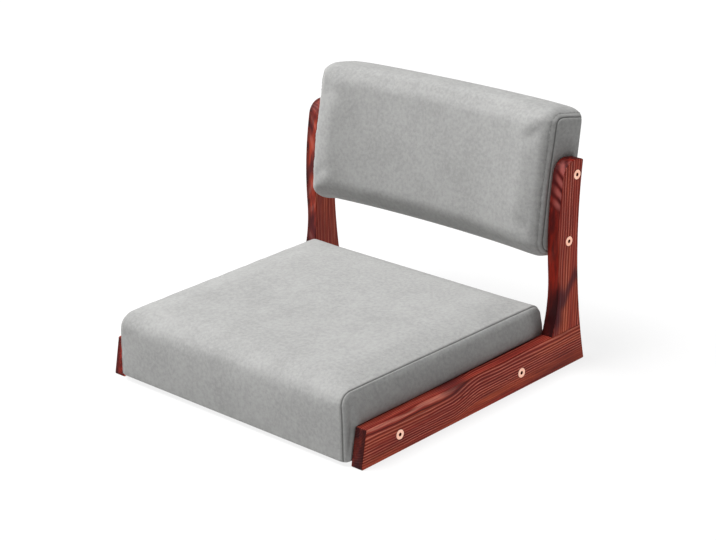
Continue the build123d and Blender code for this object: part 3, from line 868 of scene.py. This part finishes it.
def seatCushion():
    look = seatLook
    front, rear = look["front"] + look["slack"], look["rear"] - look["slack"]
    corners = [
        (front, look["bottom"], look["tuckRadius"]),
        (rear, look["bottom"], look["tuckRadius"]),
        (rear - look["rearRake"], look["rearHeight"] - look["slack"], look["rearRadius"]),
        (front + look["frontRake"], look["frontHeight"] - look["slack"], look["frontRadius"]),
    ]
    corners = [(y * mm + frontEnd, z * mm, r * mm) for y, z, r in corners]
    width = look["topHalfWidth"] * mm
    piece = cushionMesh("seatCushion", corners, width, look)
    def hold(p):  # the underside is fixed, the sewn arris is tight
        under = 1 - mmStep(*look["fixedUnder"], p[:, 2])
        return np.maximum(under, tightArris(p, width, look["arrisHold"]))
    swell(piece, {"hold": hold, "cap": look["cap"] * mm, "frontEase": look["frontEase"]})
    refine(piece)
    p, out = coordinates(piece.data), normals(piece.data)
    browY = frontEnd + (look["front"] + look["frontRake"] + look["brow"][0]) * mm
    browZ = (look["frontHeight"] - look["brow"][1]) * mm
    near = bell(np.hypot(p[:, 1] - browY, p[:, 2] - browZ), look["browReach"] * mm)
    for index in np.nonzero(near > 0.03)[0]:  # shallow waves along the front edge
        x, y, z = p[index]
        wave = noise.noise(Vector((x * 17, y * 20, 3.0 + z * 20)))
        wave += 0.5 * noise.noise(Vector((x * 45, y * 45, 8.0)))
        p[index] += out[index] * wave * near[index] * look["browWave"] * mm
    ends, along = look["crownEnds"] * mm, p[:, 1] - frontEnd
    inner = 1 - np.clip((np.abs(p[:, 0]) - width + ends) / ends, 0, 1) ** 2
    inner *= mmStep(*look["crownFront"], along)
    inner *= 1 - mmStep(*[look["rear"] - back for back in look["crownRear"]], along)
    p[:, 2] += look["crown"] * mm * inner * mmStep(*look["crownLevels"], p[:, 2])
    p[:, 2] = np.maximum(p[:, 2], look["bottom"] * mm)
    setCoordinates(piece.data, p)
    sewSeams(piece, look, {
        "halfWidth": width, "seed": (3.0, 1.0, 7.0),
        "depth": 0.7 * mm, "puff": 0.2 * mm, "pucker": 0.40 * mm, "row": 0.0, "rowDepth": 0.0,
        "where": lambda points: mmStep(6.5, 9, points[:, 2]), "give": lambda points: np.ones(len(points)),
    })
    p = seatSides(coordinates(piece.data))
    lip = 1 - mmStep(*look["lipLevels"], p[:, 2])
    lip *= 1 - mmStep(0, look["lipDepth"], p[:, 1] - frontEnd - (look["front"] + 1) * mm)
    p[:, 2] -= lip * look["lip"] * mm * (1 + p[:, 0] / width)  # the front lip hangs lower to the right
    setCoordinates(piece.data, p)
    piece.data.materials.append(greyClothShader("greyClothSeat"))
    piece.data.shade_smooth()
    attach(piece, "root")
    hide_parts("seat_cover", "seat_foam")
    print("seat cushion", len(piece.data.polygons), "faces")


# Backrest cushion, shaped upright about the middle of its bolts and then leaned back

boltLow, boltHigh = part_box("back_bolts_right")
backLook = {  # millimetres and degrees, but metres and radians in the first two rows
    "centre": (0, (boltLow.y + boltHigh.y) / 2, (boltLow.z + boltHigh.z) / 2),
    "lean": math.atan2(boltHigh.y - boltLow.y - boltHead, boltHigh.z - boltLow.z - boltHead),
    "front": -21.5, "rear": 30.0, "top": 115.5, "bottom": -67.2,
    "topFrontRadius": 17.0, "topRearRadius": 9.0, "bottomRearRadius": 12.5, "bottomFrontRadius": 21.0,
    "sideRadius": 19.0, "underRadius": 19.0, "rearEndRadius": 8, "seamTurn": 58.0,
    "steps": (8, 4, 24), "stations": 60, "bendSteps": 7,
    "firmRear": (26, 28), "rearHold": 0.6, "arrisHold": 0.6, "cap": 4,
    "crown": 3.2, "arch": 3.0, "planRadius": 2900.0,
    "endBulge": 19.0, "endRoll": 11.0, "rollWidth": 42.0,  # the front swells towards the ends, then rolls off
    "spread": (0.5, 2.4), "ears": (3.0, -0.5),  # left, right: width over the posts, drop of the corners
    "topTilt": 1.6,  # the top is higher to the right
}


def backSides(points, place):  # above the posts' tops the ends spread over them
    look, width = backLook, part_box("back_cover")[1].x
    x, y, z = np.abs(points[:, 0]), points[:, 1], points[:, 2]
    post = frame["nodes"]["back_post_right"]
    low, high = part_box("back_post_right")
    levels = np.linspace(low.y, high.y, 80)
    tops = []  # height of the post at each y
    for level in levels:
        hit, spot = post.ray_cast((railInside + 8 * mm, level, high.z + 20 * mm), (0, 0, -1))[:2]
        tops.append(spot.z if hit else 0.0)
    turn = np.array(place)
    shown = points @ turn[:3, :3].T + turn[:3, 3]
    above = shown[:, 2] - np.interp(shown[:, 1], levels, tops)
    share = smoothStep(width - look["sideRadius"] * 1.6 * mm, width, x)
    share = share * mmStep(-14, 8, y) * mmStep(0.4, 2.6, above)
    wide = np.minimum(x, width - 0.1 * mm) + np.where(points[:, 0] < 0, *look["spread"]) * mm * share
    edge = smoothStep(width - 34 * mm, width - 9 * mm, x)
    drop = np.where(points[:, 0] < 0, *look["ears"]) * mm * edge
    drop = drop * (1 - mmStep(look["bottom"] + 6, look["bottom"] + 40, z))
    tilt = look["topTilt"] * mm * (points[:, 0] / width) * mmStep(40, 100, z)
    return np.column_stack((np.sign(points[:, 0]) * wide, y, z - drop + tilt))


def backCurve(p, width):  # crown, end bulges, plan curve and arch
    look = backLook
    middle, half = (look["top"] + look["bottom"]) / 2 * mm, (look["top"] - look["bottom"]) / 2 * mm
    frontness = np.clip(p[:, 1] / (look["front"] * mm), 0, 1)
    level = np.clip((p[:, 2] - middle) / half, -1, 1) ** 2
    roll = np.clip((np.abs(p[:, 0]) - width) / (look["rollWidth"] * mm) + 1, 0, 1) ** 2
    bulge = look["endBulge"] * (p[:, 0] / width) ** 4 * (1 - 0.3 * level)
    bulge -= look["endRoll"] * roll * (1 - 0.35 * level)
    p[:, 1] -= frontness * (look["crown"] * (1 - level) + bulge) * mm
    p[:, 1] -= p[:, 0] ** 2 / (2 * look["planRadius"] * mm)
    p[:, 2] += look["arch"] * mm * (0.72 - (p[:, 0] / width) ** 2)
    return p


def backCushion():
    look = backLook
    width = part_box("back_cover")[1].x
    corners = [
        (look["front"], look["bottom"], look["bottomFrontRadius"]),
        (look["rear"], look["bottom"], look["bottomRearRadius"]),
        (look["rear"], look["top"], look["topRearRadius"]),
        (look["front"], look["top"], look["topFrontRadius"]),
    ]
    corners = [(y * mm, z * mm, r * mm) for y, z, r in corners]
    piece = cushionMesh("backCushion", corners, width, look)
    def hold(q):  # firm behind, tight along the seams, fixed at the ends
        firm = look["rearHold"] * mmStep(*look["firmRear"], q[:, 1])
        fixed = 1.0 * (np.abs(q[:, 0]) > width - 0.3 * mm)
        return np.maximum.reduce([tightArris(q, width, look["arrisHold"]), firm, fixed])
    swell(piece, {"hold": hold, "cap": look["cap"] * mm, "frontEase": 0.0})
    refine(piece)
    p = coordinates(piece.data)
    p[:, 0] = np.clip(p[:, 0], -width + 0.02 * mm, width - 0.02 * mm)
    setCoordinates(piece.data, p)
    rows = sewSeams(piece, look, {
        "halfWidth": width, "seed": (9.0, 4.0, 2.0),
        "depth": 0.8 * mm, "puff": 0.15 * mm, "pucker": 0.9 * mm, "row": 6.4, "rowDepth": 0.45 * mm,
        "where": lambda points: np.ones(len(points)),
        "give": lambda points: 1 - 0.75 * mmStep(16, 26, points[:, 1]),  # firm over the shell at the rear
    })
    stitches = stitchRows("backTopstitching", rows)
    place = Matrix.Translation(look["centre"]) @ Matrix.Rotation(-look["lean"], 4, "X")
    for item in (piece, stitches):
        setCoordinates(item.data, backSides(backCurve(coordinates(item.data), width), place))
        item.data.transform(place)
        item.data.shade_smooth()
        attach(item, "root")
    piece.data.materials.append(greyClothShader("greyClothBack"))
    stitches.data.materials.append(threadShader())
    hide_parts("back_cover", "back_foam", "back_rear_sheet")
    counts = [len(item.data.polygons) for item in (piece, stitches)]
    print("backrest cushion", counts[0], "faces,", counts[1], "in the stitches")


# Under the seat

dustLook = {
    "thickness": 0.35 * mm, "drop": 0.12 * mm,
    "sag": 1.3 * mm, "sagGrows": (4, 60),  # millimetres in from the edge
    "cells": (72, 62), "waves": ((16, 4.0, 0.5), (45, 9.0, 0.25)),  # per metre, seed, share
}


def dustCover():
    low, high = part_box("seat_dust_cover")
    width, length = high.x - low.x, high.y - low.y
    middle = (0, (low.y + high.y) / 2, high.z)
    across, along = dustLook["cells"]
    deselectAll()
    bpy.ops.mesh.primitive_grid_add(x_subdivisions=across, y_subdivisions=along, size=1, location=middle)
    piece = bpy.context.active_object
    piece.name = piece.data.name = "seatDustCover"
    bpy.ops.transform.resize(value=(width, length, 1), center_override=middle)
    bpy.ops.object.transform_apply()
    p = coordinates(piece.data)
    edge = np.minimum.reduce([p[:, 0] - low.x, high.x - p[:, 0], p[:, 1] - low.y, high.y - p[:, 1]])
    sag = dustLook["sag"] * mmStep(*dustLook["sagGrows"], edge)
    for index, (x, y, z) in enumerate(p):
        wave = sum(noise.noise(Vector((x * k, y * k, seed))) * share for k, seed, share in dustLook["waves"])
        p[index, 2] -= sag[index] * (0.75 + wave) + dustLook["drop"]
    setCoordinates(piece.data, p)
    thick = piece.modifiers.new("cloth", "SOLIDIFY")
    thick.thickness, thick.offset = dustLook["thickness"], 0
    bpy.ops.object.modifier_apply(modifier=thick.name)
    faceOutwards(piece)
    piece.data.materials.append(dustClothShader())
    piece.data.shade_smooth()
    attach(piece, "root")
    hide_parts("seat_dust_cover")
    print("dust cover", len(piece.data.polygons), "faces")


stapleLook = {
    "crown": (10 * mm, 1.2 * mm, 0.6 * mm), "legInside": 4.3 * mm, "legLength": 1.6 * mm, "bevel": 0.15 * mm,
    "pitch": 36 * mm, "inset": 7 * mm, "looseTurn": 14, "looseShift": 1.5 * mm, "lift": 0.05 * mm,
}


def stapleShape():  # crown along X, legs up into the wood
    look = stapleLook
    deselectAll()
    bpy.ops.mesh.primitive_cube_add(size=1)
    staple = bpy.context.active_object
    bpy.ops.transform.resize(value=look["crown"])
    bpy.ops.object.transform_apply(scale=True)
    cutLoops(staple, (-look["legInside"], look["legInside"]))
    startEdit("DESELECT")
    endEdit()
    for face in staple.data.polygons:
        face.select = face.normal.z > 0.9 and abs(face.center.x) > look["legInside"]
    startEdit()
    bpy.ops.mesh.extrude_region_move(TRANSFORM_OT_translate={"value": (0, 0, look["legLength"])})
    bpy.ops.mesh.select_all(action="SELECT")
    bpy.ops.mesh.bevel(offset=look["bevel"], segments=1)
    endEdit()
    return staple


def staples():
    look = stapleLook
    low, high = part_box("seat_dust_cover")
    shape, quads = takeShape(stapleShape())
    inset = look["inset"]

    def along(first, last):
        number = round((last - first - 2 * inset) / look["pitch"])
        return [first + inset + (last - first - 2 * inset) * (n + 0.5) / number for n in range(number)]

    spots = [(x, y, 0.0) for y in (low.y + inset, high.y - inset) for x in along(low.x, high.x)]
    spots += [(x, y, 90.0) for x in (low.x + inset, high.x - inset) for y in along(low.y, high.y)]
    points, faces = [], []
    for n, (x, y, turn) in enumerate(spots):
        swing, slip = (noise.noise(Vector((n * 1.7, seed, 5.1))) for seed in (2.3, 7.9))
        spin = math.radians(turn + look["looseTurn"] * swing)
        cos, sin = math.cos(spin), math.sin(spin)
        base = len(points)
        for px, py, pz in shape:
            across = x + px * cos - py * sin + slip * look["looseShift"]
            points.append((across, y + px * sin + py * cos, low.z + look["lift"] + pz))
        faces += [tuple(base + k for k in f) for f in quads]
    piece = newPiece("seatStaples", points, faces)
    piece.data.materials.append(metalShader("stapleWire"))
    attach(piece, "root")
    print("staples", len(spots))


# Studio

studio = {
    "floor": 0.15, "floorShade": 0.985, "floorGlow": 0.83, "world": 0.11, "aim": (0, 0, 0.12),
    "lamps": {
        "key": {"at": (-2.0, -1.73, 7.4), "size": 5.1, "power": 895.0},
        "fill": {"at": (-5.2, -0.8, 2.1), "size": 2.4, "power": 176.0},
        "glint": {"at": (1.6, 1.5, 0.5), "size": 0.8, "power": 3.0},
    },
}


def makeStudio():
    deselectAll()
    bpy.ops.mesh.primitive_plane_add(size=14, location=(0, 0, 0))
    floor = bpy.context.active_object
    floor.name = "studioFloor"
    glow = {"Emission_Color": (1, 1, 1, 1), "Emission_Strength": studio["floorGlow"]}
    s = Shader("paleFloor", Roughness=0.95, Specular_IOR_Level=0.1, **glow)
    pale = studio["floor"]
    shaded = pale * studio["floorShade"]
    s.feed(Base_Color=s.blend(s.noise(s.place(), 3, 2), (pale, pale, pale), (shaded, shaded, shaded)))
    floor.data.materials.append(s.material)
    for name, place in studio["lamps"].items():
        light = bpy.data.lights.new(name, "AREA")
        light.shape, light.size, light.energy = "DISK", place["size"], place["power"]
        lamp = bpy.data.objects.new(name, light)
        bpy.context.scene.collection.objects.link(lamp)
        lamp.location = place["at"]
        lamp.visible_camera = False
        lamp.rotation_mode = "QUATERNION"
        lamp.rotation_quaternion = (Vector(studio["aim"]) - Vector(place["at"])).to_track_quat("-Z", "Y")
    world = bpy.data.worlds.new("studio")
    world.use_nodes = True
    sky = world.node_tree.nodes["Background"].inputs
    sky["Color"].default_value = (1, 1, 1, 1)
    sky["Strength"].default_value = studio["world"]
    bpy.context.scene.world = world
    bpy.context.scene.view_settings.view_transform = "Standard"


makeCamera()
print("camera placed")
makeStudio()
print("studio lit")
dressNodes()
print("wood, metal and inner pieces dressed")
seatCushion()
backCushion()
dustCover()
staples()
